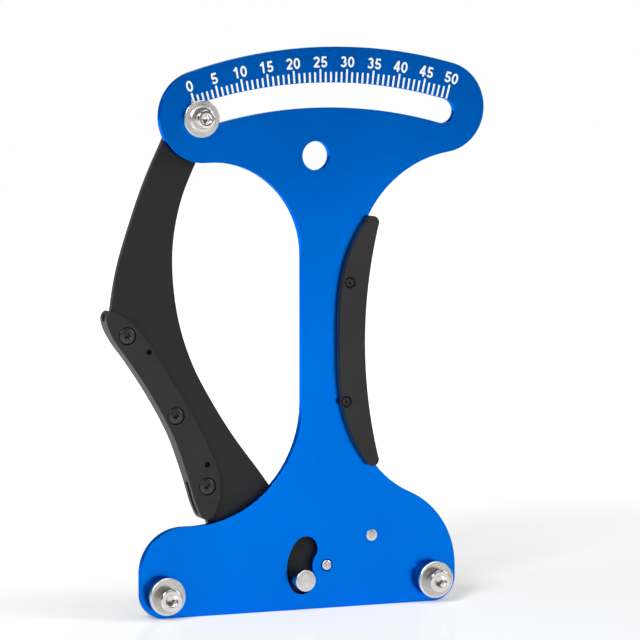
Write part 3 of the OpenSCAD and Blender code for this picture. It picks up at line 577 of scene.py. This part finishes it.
def lock_ring(_front, rear):
    """The nylon ring that shows in the collar of a lock nut."""
    return plain_ring(rear - 0.8 * MM, rear + 0.04 * MM, bore=2.55 * MM, radius=3.25 * MM, edge=0.1 * MM)


def plain_ring(front, rear, bore, radius, edge=0.15 * MM):
    """A washer or sleeve."""
    return [(bore, front), (radius - edge, front), (radius, front + edge), (radius, rear - edge),
            (radius - edge, rear), (bore, rear)]


def fixed_post(face, rear):
    """Collar, groove for the spoke and flange; the flange's face is dished a little round the screw."""
    collar, groove, flange, edge = 5.2 * MM, 4.1 * MM, 7.1 * MM, 0.4 * MM
    collar_width, groove_width, dish = 0.6 * MM, 2.4 * MM, 0.12 * MM
    groove_rear = rear - collar_width
    groove_front = groove_rear - groove_width
    return [(0, rear), (collar, rear), (collar, groove_rear), (groove, groove_rear), (groove, groove_front),
            (flange - edge, groove_front), (flange, groove_front - edge), (flange, face + edge),
            (flange - edge, face), (flange - 3 * edge, face), (groove, face + dish), (0, face + dish)]


def pointer_disc(face, rear):
    """The pointer's flange with a raised step under the screw."""
    bore, step, disc, edge = 2.1 * MM, 4.6 * MM, 7.0 * MM, 0.3 * MM
    step_height, step_edge, step_foot = 1.0 * MM, 0.15 * MM, 0.2 * MM
    front = face + step_height
    return [(bore, rear), (disc, rear), (disc, front + edge), (disc - edge, front),
            (step + step_foot, front), (step, face + step_edge), (step - step_edge, face), (bore, face)]


def moving_post(face, rear):
    """A plain post with a riveted stem."""
    post, stem, rivet, edge = 4.1 * MM, 2.5 * MM, 3.3 * MM, 0.35 * MM
    shoulder, rivet_seat = 2.0 * MM, rear - 0.6 * MM
    return [(0, rear), (rivet - edge, rear), (rivet, rivet_seat), (stem, rivet_seat), (stem, shoulder),
            (post, shoulder), (post, face + edge), (post - edge, face), (0, face)]


def hook_pin(front, rear, radius):
    """A spring pin with its groove for the hook."""
    chamfer = 0.3 * MM
    groove_front, groove_rear = SPRING_DEPTH - PIN_GROOVE_WIDTH / 2, SPRING_DEPTH + PIN_GROOVE_WIDTH / 2
    return [(0, front), (radius, front), (radius, groove_front), (PIN_GROOVE, groove_front),
            (PIN_GROOVE, groove_rear), (radius, groove_rear), (radius, rear - chamfer),
            (radius - chamfer, rear), (0, rear)]


def pivot_pin(front, rear):
    """The pivot: a nose in the plate's front, the bearing, and the groove of the retaining clip."""
    nose, hub, chamfer = 1.9 * MM, 2.5 * MM, 0.3 * MM
    nose_face, clip_groove = nose - 0.5 * MM, hub - 0.5 * MM
    clip_front, clip_rear = 5.45 * MM, 6.05 * MM
    return [(0, front), (nose_face, front), (nose, front + chamfer), (nose, PLATE_REAR),
            (hub, PLATE_REAR), (hub, clip_front), (clip_groove, clip_front), (clip_groove, clip_rear),
            (hub, clip_rear), (hub, rear - chamfer), (hub - chamfer, rear), (0, rear)]


def turn_each(node, profile_of, finish, slot, sizes=None, label="look", **options):
    """Turns a piece for each solid of a node, from its own ends and the sizes of its profile."""
    for name, shape in each_solid(node, label):
        profile = profile_of(*ends_of(shape), **(sizes or {}))
        turn(name, node, box_centre(shape), profile, finish, slot, **options)
        shape.free()


def index_tip(disc_axis, rear):
    """The pointed tip on the pointer's rim, towards the scale."""
    half_width, foot, tip, thickness = 1.3 * MM, 6.4 * MM, 8.1 * MM, 0.96 * MM
    turned = math.radians(-29)
    out = Vector((math.sin(turned), 0, math.cos(turned)))
    side = Vector((math.cos(turned), 0, -math.sin(turned)))
    shape = bmesh.new()
    outline = [out * foot - side * half_width, out * tip, out * foot + side * half_width]
    front = [shape.verts.new(point + Vector((0, rear - thickness, 0))) for point in outline]
    back = [shape.verts.new(point + Vector((0, rear, 0))) for point in outline]
    shape.faces.new(front)
    shape.faces.new(back)
    for count in range(3):
        onward = (count + 1) % 3
        shape.faces.new((front[count], front[onward], back[onward], back[count]))
    bmesh.ops.recalc_face_normals(shape, faces=shape.faces)
    piece = placed_piece("pointer_index_tip", shape, (disc_axis.x, 0, disc_axis.z))
    ease_edges(piece, edge=0.12 * MM, limit="ANGLE")
    stand_for(piece, "pointer_disc", turned_steel, "turned_steel")


for post in ("left_post", "right_post"):
    turn_each(post, fixed_post, turned_steel, "turned_steel", edge=0.12 * MM)
turn_each("post_screws", cap_screw, screw_steel, "screw_steel",
          {"radius": 2.5 * MM, "head": 4.25 * MM, "height": 4.1 * MM, "key": 4 * MM})
turn_each("post_washers", plain_ring, zinc_plate, "plated_steel",
          {"bore": 2.6 * MM, "radius": 5 * MM}, ring=True)
turn_each("post_nuts", lock_nut, zinc_plate, "plated_steel", {"bore": 2.53 * MM, "width": 8 * MM}, ring=True)
turn_each("post_nuts", lock_collar, zinc_plate, "plated_steel", label="collar", ring=True)
turn_each("post_nuts", lock_ring, natural_nylon, "nylon", label="ring", ring=True)

pointer_axis = node_centre("pointer_sleeve")
disc_low, disc_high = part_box("pointer_disc")
turn("pointer_disc_look", "pointer_disc", pointer_axis, pointer_disc(disc_low.y, disc_high.y), turned_steel,
     "turned_steel", ring=True)
index_tip(pointer_axis, disc_high.y)
turn_each("pointer_sleeve", plain_ring, turned_steel, "turned_steel",
          {"bore": 2.1 * MM, "radius": 3 * MM}, ring=True)
turn_each("pointer_screw", cap_screw, screw_steel, "screw_steel",
          {"radius": 2 * MM, "head": 3.5 * MM, "height": 4 * MM, "key": 3 * MM})
turn_each("pointer_washer", plain_ring, zinc_plate, "plated_steel",
          {"bore": 2.1 * MM, "radius": 4.5 * MM}, ring=True)
turn_each("pointer_nut", nut, zinc_plate, "plated_steel", {"bore": 2.03 * MM, "width": 7 * MM}, ring=True)

turn_each("moving_post", moving_post, turned_steel, "turned_steel")
turn_each("pivot_pin", pivot_pin, turned_steel, "turned_steel")
turn_each("spring_anchor", hook_pin, turned_steel, "turned_steel", {"radius": 2.2 * MM})
turn_each("spring_pin", hook_pin, turned_steel, "turned_steel", {"radius": 2 * MM})
for thrust_washer in ("thrust_washer_front", "thrust_washer_rear"):
    turn_each(thrust_washer, plain_ring, natural_nylon, "nylon",
              {"bore": 2.6 * MM, "radius": 5.6 * MM, "edge": 0.08 * MM}, ring=True)

turn_each("lever_grip_screws", dome_screw, black_oxide, "black_screw",
          {"radius": 1.5 * MM, "head": 3.2 * MM, "height": 1.1 * MM, "key": 2 * MM})
turn_each("body_grip_screws", sunk_screw, black_oxide, "black_screw",
          {"radius": 1.25 * MM, "head": 2.3 * MM, "recess": 2.1 * MM}, edge=0.04 * MM)
# Rings of painted shade, near black, sit in the screws' grooves
turn_each("body_grip_screws", sunk_screw_gap, painted_shade_black, "black_screw", label="gap", ring=True,
          edge=0.02 * MM)
turn_each("lever_grip_nuts", nut, zinc_plate, "plated_steel",
          {"bore": 1.53 * MM, "width": 5.5 * MM}, ring=True)
turn_each("body_grip_nuts", nut, zinc_plate, "plated_steel", {"bore": 1.28 * MM, "width": 5 * MM}, ring=True)


# ---- Return spring --------------------------------------------------------------------------------------
# One wire, wound about the line from the lever's pin to the anchor, with an open hook round each pin. The
# hook's start and sweep are degrees.

WIRE = 0.9 * MM
COIL_RADIUS = 2.4 * MM
COILS = 7
COIL_PITCH = 1.45 * MM
COIL_STEPS = 32
HOOK_SLACK = 0.15 * MM
HOOK_FROM = -40
HOOK_SWEEP = 230
HOOK_STEPS = 30
LINK_STEPS = 12
WIRE_SIDES = 14


def bezier(a, b, c, d, share):
    """A place on the curve from a to d that b and c draw out, by a share from 0 to 1."""
    rest = 1 - share
    return a * rest ** 3 + b * 3 * rest * rest * share + c * 3 * rest * share * share + d * share ** 3


def half_spring_line(start):
    """A hook round a pin at the origin, and the link that climbs to the first coil. X runs along the spring,
    Y across it and Z to the rear."""
    hook = PIN_GROOVE + HOOK_SLACK + WIRE / 2
    angles = [math.radians(HOOK_FROM - HOOK_SWEEP * step / HOOK_STEPS) for step in range(HOOK_STEPS)]
    points = [Vector((hook * math.cos(a), hook * math.sin(a), 0)) for a in angles]
    leave, bend = Vector((0, hook, 0)), Vector((start * 0.55, hook, 0))
    rise, join = Vector((start, COIL_RADIUS, -COIL_RADIUS * 0.9)), Vector((start, COIL_RADIUS, 0))
    return points + [bezier(leave, bend, rise, join, step / LINK_STEPS) for step in range(LINK_STEPS)]


def spring_line(tail, anchor):
    """The whole wire's centreline, in the shared frame."""
    length = (anchor - tail).length
    along = (anchor - tail).normalized()
    across = Vector((-along.z, 0, along.x))
    start = (length - COILS * COIL_PITCH) / 2
    half = half_spring_line(start)
    winding = []
    for step in range(COILS * COIL_STEPS + 1):
        angle = 2 * math.pi * step / COIL_STEPS
        reached = start + COIL_PITCH * step / COIL_STEPS
        winding.append(Vector((reached, COIL_RADIUS * math.cos(angle), COIL_RADIUS * math.sin(angle))))
    other_half = [Vector((length - point.x, point.y, -point.z)) for point in reversed(half)]
    return [tail + along * p.x + across * p.y + Vector((0, p.z, 0)) for p in half + winding + other_half]


def wire_shape(points, radius):
    """A round wire along points, its rings turned as little as can be from one to the next."""
    shape = bmesh.new()
    rows = []
    normal = Vector((0, 1, 0.1))
    for count, here in enumerate(points):
        along = (points[min(count + 1, len(points) - 1)] - points[max(count - 1, 0)]).normalized()
        normal = (normal - along * normal.dot(along)).normalized()
        other = along.cross(normal)
        angles = [2 * math.pi * side / WIRE_SIDES for side in range(WIRE_SIDES)]
        rows.append([shape.verts.new(here + (normal * math.cos(a) + other * math.sin(a)) * radius)
                     for a in angles])
    for near, far in zip(rows, rows[1:]):
        for side in range(WIRE_SIDES):
            onward = (side + 1) % WIRE_SIDES
            shape.faces.new((near[side], near[onward], far[onward], far[side]))
    shape.faces.new(rows[0])
    shape.faces.new(rows[-1])
    bmesh.ops.recalc_face_normals(shape, faces=shape.faces)
    return shape


def add_spring():
    """The spring between the body's pin and the lever's, with a hook round each pin."""
    tail, anchor = node_centre("spring_pin"), node_centre("spring_anchor")
    tail.y = anchor.y = SPRING_DEPTH
    piece = placed_piece("return_spring_look", wire_shape(spring_line(tail, anchor), WIRE / 2), (0, 0, 0))
    piece.data.materials.append(drawn_wire)
    hook_share = 0.18
    anchor.lerp(tail, hook_share)
    tail.lerp(anchor, hook_share)
    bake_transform(piece)
    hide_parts("return_spring")


add_spring()


# ---- Printed scale --------------------------------------------------------------------------------------

# The marks' bearings are degrees. RIGHT_PULL turns the marks of both ends a little to the right, and
# END_PULL draws them inwards.
MIDDLE_BEARING = -0.83
HALF_SWEEP = 16.53
RIGHT_PULL = 0.185
END_PULL = 0.387
LAST_MARK = 50
LONG_MARK_EVERY = 5
MARKS_FROM = 183.45 * MM
LONG_MARKS_TO = 188.35 * MM
SHORT_MARKS_TO = 187.25 * MM
MARK_WIDTH = 0.75 * MM
NUMERAL_FOOT = 188.95 * MM
NUMERAL_HEIGHT = 4.2 * MM
NUMERAL_WIDTH = 3.9 * MM
SCALE_LEAN = 2.0 * MM
INK = 0.015 * MM
INK_LAYER = 0.006 * MM

# Numerals are drawn one high, and these are shares of NUMERAL_WIDTH: a stroke, the step to the next digit
# and a digit's own width
STROKE = 0.18
DIGIT_STEP = 0.775
DIGIT_WIDTH = 0.68


def ellipse_arc(centre, reach, start, end, steps=14):
    """Points on an ellipse; angles are degrees, anticlockwise from the right."""
    angles = [math.radians(start + (end - start) * step / steps) for step in range(steps + 1)]
    return [Vector((centre[0] + reach[0] * math.cos(a), centre[1] + reach[1] * math.sin(a))) for a in angles]


def straight(*points):
    """A stroke with straight parts."""
    return [Vector(point) for point in points]


DIGITS = {
    "0": [ellipse_arc((0.34, 0.5), (0.24, 0.40), 90, 450, steps=32)],
    "1": [straight((0.42, 0.0), (0.42, 1.0)), straight((0.12, 0.70), (0.28, 0.77), (0.38, 0.93))],
    "2": [ellipse_arc((0.335, 0.68), (0.235, 0.22), 165, -30) + straight((0.16, 0.13)),
          straight((0.05, 0.10), (0.63, 0.10))],
    "3": [ellipse_arc((0.32, 0.715), (0.205, 0.185), 155, -85),
          ellipse_arc((0.325, 0.305), (0.24, 0.205), 85, -155)],
    "4": [straight((0.43, 0.95), (0.10, 0.31)), straight((0.02, 0.29), (0.67, 0.29)),
          straight((0.46, 0.0), (0.46, 1.0))],
    "5": [straight((0.60, 0.90), (0.20, 0.90), (0.145, 0.47)),
          ellipse_arc((0.335, 0.32), (0.245, 0.22), 142, -155)],
}


def mark_bearing(mark):
    """The bearing of a mark. The marks draw a little closer together towards both ends."""
    share = mark / LAST_MARK * 2 - 1
    return MIDDLE_BEARING + HALF_SWEEP * share + RIGHT_PULL * share ** 2 - END_PULL * share ** 3


def lean(bearing):
    """The scale stands a little further out on its right than on its left."""
    return SCALE_LEAN * math.sin(math.radians(bearing))


def printed_point(bearing, across, radius, layer=0):
    """A place on the plate's face, across the line of a bearing and out along it."""
    foot = polar(radius, bearing)
    side = polar(1.0, bearing + 90) - polar(0.0, 0)
    return foot + side * across + Vector((0, PLATE_FRONT - INK - layer * INK_LAYER, 0))


def ribbon(shape, points, width, stand):
    """A flat line of even width along points, with mitred corners; stand gives a flat point its place."""
    edges = []
    for count, here in enumerate(points):
        back = (here - points[count - 1]).normalized() if count else None
        on = (points[count + 1] - here).normalized() if count + 1 < len(points) else None
        along = ((back or on) + (on or back)).normalized()
        square = Vector((-along.y, along.x))
        mitre = square.dot(Vector((-(on or back).y, (on or back).x)))
        edges.append((here + square * width / 2 / mitre, here - square * width / 2 / mitre))
    rows = [(shape.verts.new(stand(left)), shape.verts.new(stand(right))) for left, right in edges]
    for (a, b), (c, d) in zip(rows, rows[1:]):
        shape.faces.new((a, b, d, c))


def add_mark(shape, bearing, end):
    """One printed line, from the slot's edge outwards."""
    ribbon(shape, straight((0, MARKS_FROM), (0, end + lean(bearing))), MARK_WIDTH,
           lambda point: printed_point(bearing, point.x, point.y))


def add_number(shape, number, bearing):
    """A number over its mark, drawn in strokes that lie one over the other."""
    digits = str(number)
    whole = (len(digits) - 1) * DIGIT_STEP + DIGIT_WIDTH
    foot = NUMERAL_FOOT + lean(bearing)
    for count, digit in enumerate(digits):
        shift = count * DIGIT_STEP - whole / 2
        for layer, line in enumerate(DIGITS[digit]):
            ribbon(shape, line, STROKE, lambda point: printed_point(
                bearing, (point.x + shift) * NUMERAL_WIDTH, foot + point.y * NUMERAL_HEIGHT, layer))


def printed_piece(name, shape):
    """A printed piece on the plate, with all its faces to the front."""
    mesh = bpy.data.meshes.new(name)
    bmesh.ops.recalc_face_normals(shape, faces=shape.faces)
    for face in shape.faces:
        if face.normal.y > 0:
            face.normal_flip()
    shape.to_mesh(mesh)
    shape.free()
    mesh.materials.append(printed_white)
    piece = bpy.data.objects.new(name, mesh)
    bpy.context.scene.collection.objects.link(piece)
    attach(piece, "body")


marks = bmesh.new()
numerals = bmesh.new()
for mark in range(LAST_MARK + 1):
    bearing = mark_bearing(mark)
    add_mark(marks, bearing, SHORT_MARKS_TO if mark % LONG_MARK_EVERY else LONG_MARKS_TO)
    if mark % LONG_MARK_EVERY == 0:
        add_number(numerals, mark, bearing)
printed_piece("scale_marks", marks)
printed_piece("scale_numerals", numerals)


# ---- Floor, light and camera ----------------------------------------------------------------------------

# The floor glows from NEAR_GLOW up to FAR_GLOW between these distances from a spot in front of the object
NEAR_GLOW = 0.23
FAR_GLOW = 1.0
GLOW_FROM = 0.32
GLOW_TO = 1.05
POOL_CENTRE = (0.1, -0.3, 0.0)
FLOOR_SHEEN = 0.12

# DIM_SKY is the whole sky's light. The backdrop goes by the parts of a direction: it grows towards the rear,
# fades upwards, and fades from its middle to both sides, down to BACKDROP_BESIDE.
DIM_SKY = 0.10
BACKDROP_REAR = (0.1, 0.5)
BACKDROP_TOP = (0.12, 0.40)
BACKDROP_MIDDLE = 0.05
BACKDROP_SIDES = (0.2, 0.45)
BACKDROP_BESIDE = 0.15


def seen_rays(tree, path):
    """1 for the rays of the camera, of gloss and of glass, and 0 for those that light a surface."""
    seen = maths(tree, "ADD", path.outputs["Is Camera Ray"], path.outputs["Is Glossy Ray"])
    return maths(tree, "ADD", seen, path.outputs["Is Transmission Ray"], clamp=True)


def add_floor():
    """A white floor. It keeps the object's shadow and a faint reflection; the glow that only the camera,
    gloss and glass see grows away from a spot in front of the object, so that the floor meets the white
    backdrop."""
    bpy.ops.mesh.primitive_plane_add(size=6, location=(0, 0, 0))
    floor = bpy.context.object
    floor.name = "floor"
    material, tree, shader = new_finish("White studio floor")
    shader.inputs["Base Color"].default_value = (0.86, 0.86, 0.86, 1)
    shader.inputs["Roughness"].default_value = 0.9
    shader.inputs["Specular IOR Level"].default_value = 0.0
    sheen = place(tree, "ShaderNodeBsdfGlossy", None, {"Color": (1, 1, 1, 1), "Roughness": 0.10})
    polished = place(tree, "ShaderNodeMixShader", None, {
        0: FLOOR_SHEEN, 1: shader.outputs[0], 2: sheen.outputs[0]})
    where = place(tree, "ShaderNodeTexCoord").outputs["Object"]
    distance = place(tree, "ShaderNodeVectorMath", {"operation": "DISTANCE"}, {
        0: where, 1: POOL_CENTRE}).outputs["Value"]
    seen = seen_rays(tree, place(tree, "ShaderNodeLightPath"))
    strength = spread(tree, distance, GLOW_FROM, GLOW_TO, NEAR_GLOW, FAR_GLOW)
    glow = place(tree, "ShaderNodeEmission", None, {"Strength": maths(tree, "MULTIPLY", strength, seen)})
    lit = place(tree, "ShaderNodeAddShader", None, {0: polished.outputs[0], 1: glow.outputs[0]})
    tree.links.new(lit.outputs[0], tree.nodes["Material Output"].inputs["Surface"])
    floor.data.materials.append(material)


def add_sky():
    """White wherever the camera looks. The light comes from a dim studio; gloss and glass see the low white
    backdrop behind the object as well."""
    world = bpy.data.worlds.new("Studio")
    bpy.context.scene.world = world
    world.use_nodes = True
    tree = world.node_tree
    direction = place(tree, "ShaderNodeTexCoord").outputs["Generated"]
    way = place(tree, "ShaderNodeSeparateXYZ", None, {0: direction})
    behind = spread(tree, way.outputs["Y"], *BACKDROP_REAR, 0.0, 1.0)
    low = spread(tree, way.outputs["Z"], *BACKDROP_TOP, 1.0 - DIM_SKY, 0.0)
    aside = maths(tree, "ABSOLUTE", maths(tree, "ADD", way.outputs["X"], -BACKDROP_MIDDLE))
    narrow = spread(tree, aside, *BACKDROP_SIDES, 1.0, BACKDROP_BESIDE)
    backdrop = maths(tree, "MULTIPLY", maths(tree, "MULTIPLY", behind, low), narrow)
    path = place(tree, "ShaderNodeLightPath")
    studio = maths(tree, "ADD", maths(tree, "MULTIPLY", backdrop, seen_rays(tree, path)), DIM_SKY)
    strength = maths(tree, "MAXIMUM", studio, path.outputs["Is Camera Ray"])
    background = next(n for n in tree.nodes if n.type == "BACKGROUND")
    background.inputs["Color"].default_value = (1, 1, 1, 1)
    tree.links.new(strength, background.inputs["Strength"])


def add_softbox(name, place_at, aim, size, power):
    """A rectangular lamp that faces its aim; its power is watts."""
    light = bpy.data.lights.new(name, "AREA")
    light.shape = "RECTANGLE"
    light.size, light.size_y = size
    light.energy = power
    lamp = bpy.data.objects.new(name, light)
    bpy.context.scene.collection.objects.link(lamp)
    lamp.location = place_at
    lamp.rotation_euler = (Vector(aim) - Vector(place_at)).to_track_quat("-Z", "Y").to_euler()


def add_black_card():
    """Stands to the left, so that the rounded left edges of plate and lever show a dark line."""
    bpy.ops.mesh.primitive_plane_add(size=1, location=(-0.75, -0.15, 0.22), rotation=(0, math.pi / 2, 0))
    card = bpy.context.object
    card.name = "black_card"
    card.scale = (0.45, 0.9, 1)
    material, _, shader = new_finish("Black card")
    shader.inputs["Base Color"].default_value = (0.01, 0.01, 0.01, 1)
    shader.inputs["Roughness"].default_value = 0.8
    card.data.materials.append(material)
    card.visible_camera = False
    card.visible_diffuse = False
    card.visible_shadow = False


def add_camera():
    """Stands where the photograph was taken from: to the left of the plate's front and slightly above."""
    photo_width, focal_pixels = 640, 3600
    data = bpy.data.cameras.new("camera")
    data.sensor_width = 36
    data.lens = data.sensor_width * focal_pixels / photo_width
    camera = bpy.data.objects.new("camera", data)
    bpy.context.scene.collection.objects.link(camera)
    aim = Vector((-2.87 * MM, PLATE_FRONT, 110.2 * MM))
    azimuth, elevation, distance = math.radians(-22), math.radians(5), 1.361
    away = Vector((math.sin(azimuth) * math.cos(elevation), -math.cos(azimuth) * math.cos(elevation),
                   math.sin(elevation)))
    camera.location = aim + away * distance
    camera.rotation_euler = (-away).to_track_quat("-Z", "Y").to_euler()
    data.clip_end = 20
    bpy.context.scene.camera = camera


add_floor()
add_sky()
add_softbox("Overhead softbox", (0.15, -0.3, 1.3), aim=(0, -0.1, 0.0), size=(0.9, 0.9), power=5)
add_softbox("Left softbox", (-0.85, -0.85, 0.95), aim=(0, 0, 0.1), size=(0.5, 0.5), power=14)
add_softbox("Right softbox", (1.1, -0.7, 0.7), aim=(0, 0, 0.1), size=(0.5, 0.8), power=7.5)
add_black_card()
add_camera()
bpy.context.scene.view_settings.view_transform = "Standard"
